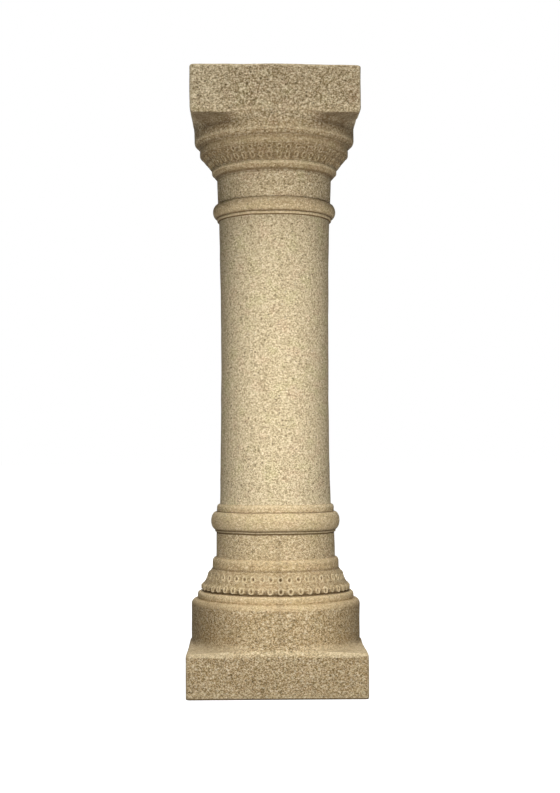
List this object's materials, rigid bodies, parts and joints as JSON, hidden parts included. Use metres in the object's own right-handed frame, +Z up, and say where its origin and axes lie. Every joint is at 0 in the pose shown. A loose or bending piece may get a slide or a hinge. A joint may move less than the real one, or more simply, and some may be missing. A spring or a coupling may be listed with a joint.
{
  "type": "doric column",
  "caption": "Short moulded column with a square plinth, turned rings, two carved bands, a plain round shaft and a square abacus.",
  "frame": {"origin": "middle of the underside", "axes": "+Z up along the column, -Y out of the front, where the mould parting line runs"},
  "size_m": [0.234, 0.234, 0.8128],
  "materials": {
    "sandstone_resin": "matt sprayed sandstone effect: beige with dark brown and cream grains"
  },
  "bodies": {
    "root": {"column": "sandstone_resin"}
  },
  "joints": []
}
